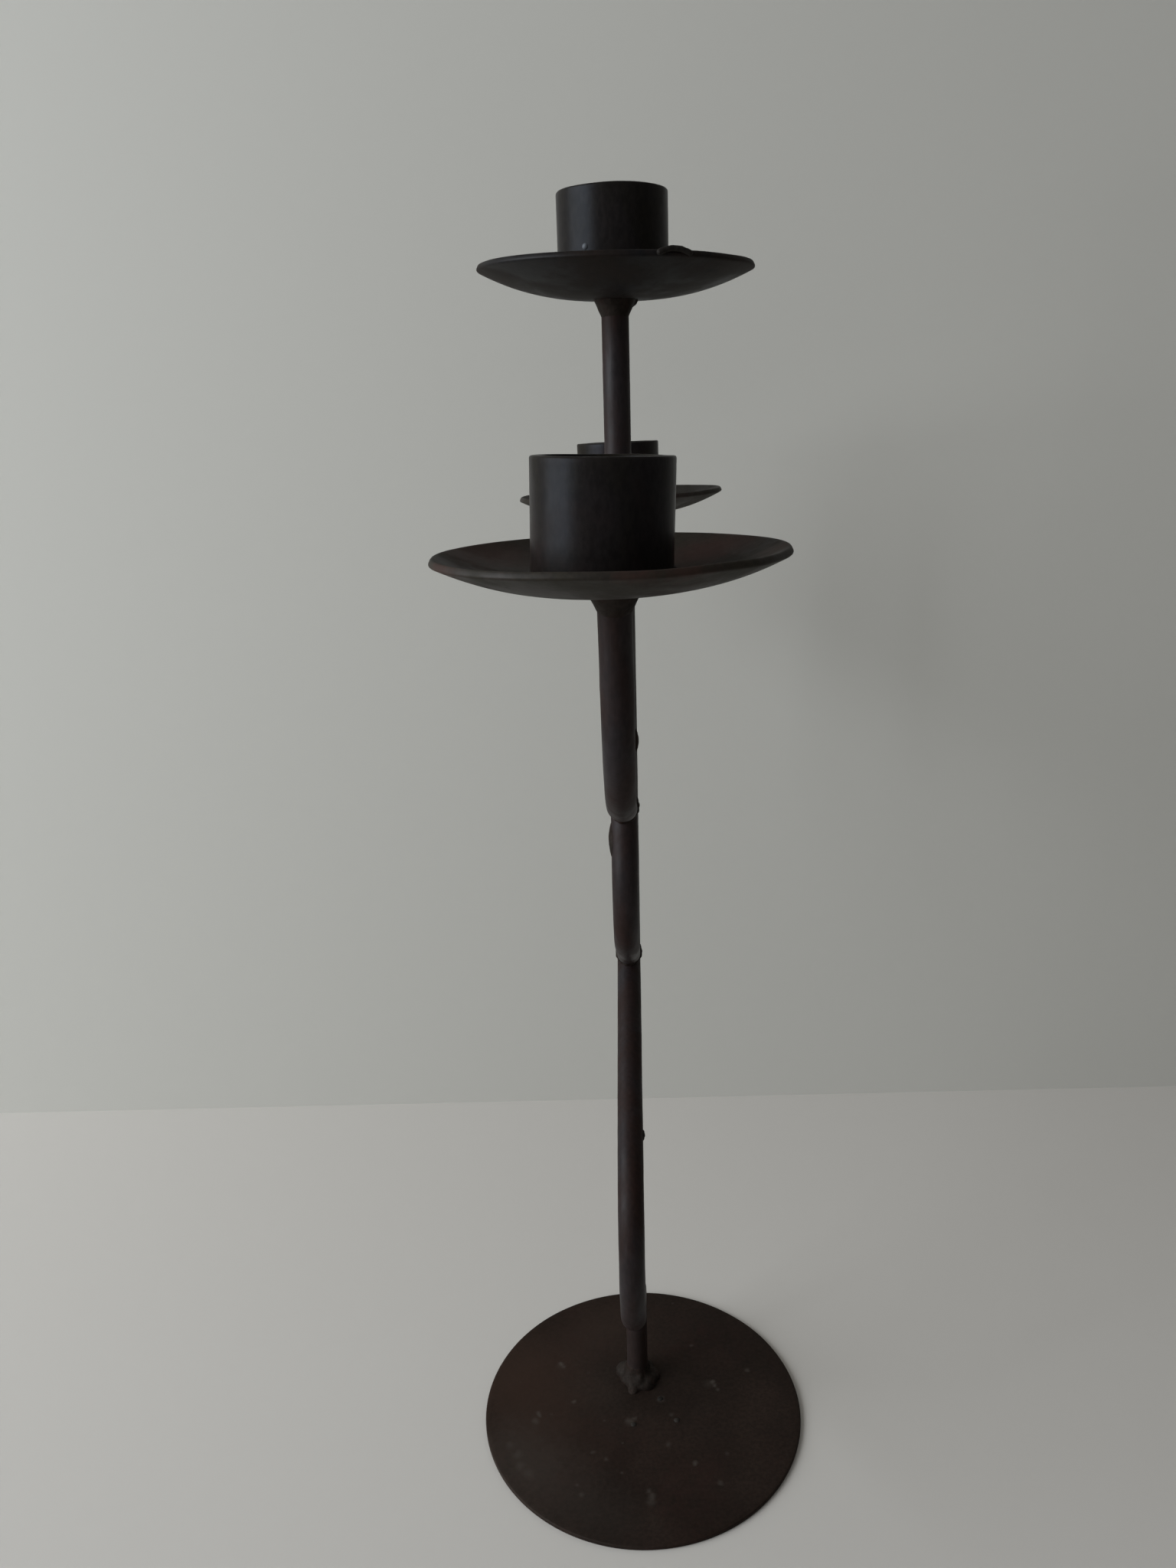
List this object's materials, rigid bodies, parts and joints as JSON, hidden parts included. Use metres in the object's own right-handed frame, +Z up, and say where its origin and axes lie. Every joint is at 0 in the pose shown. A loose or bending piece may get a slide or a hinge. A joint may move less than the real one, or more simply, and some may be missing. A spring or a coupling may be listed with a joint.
{
  "type": "table candelabra",
  "caption": "Branching candelabra of bent round iron bar on a flat round base, with a shallow drip pan and a short pipe cup for a candle at the end of each arm.",
  "frame": {"origin": "centre of the base's underside", "axes": "+Z up; the bent bars lie in one plane close to x = 0 that leans 0.44 degrees to +X; the front light stands towards -Y and the rear light towards +Y; +X is to the right, seen from the front"},
  "size_m": [0.105, 0.256, 0.3709],
  "materials": {
    "iron_bar": "near-black forged iron, dull, with a faint sheen",
    "iron_sheet": "brown-black iron sheet, dull",
    "iron_pipe": "blue-black iron pipe, satin",
    "weld_metal": "rough weld metal, dull"
  },
  "bodies": {
    "root": {"base_plate": "iron_sheet", "main_rod": "iron_bar", "centre_rod": "iron_bar", "front_arm": "iron_bar", "front_drip_pan": "iron_sheet", "centre_drip_pan": "iron_sheet", "rear_drip_pan": "iron_sheet", "front_candle_cup": "iron_pipe", "centre_candle_cup": "iron_pipe", "rear_candle_cup": "iron_pipe", "foot_weld": "weld_metal", "centre_rod_weld": "weld_metal", "front_arm_weld": "weld_metal", "front_pan_weld": "weld_metal", "centre_pan_weld": "weld_metal", "rear_pan_weld": "weld_metal", "front_cup_tacks": "weld_metal", "centre_cup_tacks": "weld_metal", "rear_cup_tacks": "weld_metal", "weld_spatter": "weld_metal"}
  },
  "joints": []
}
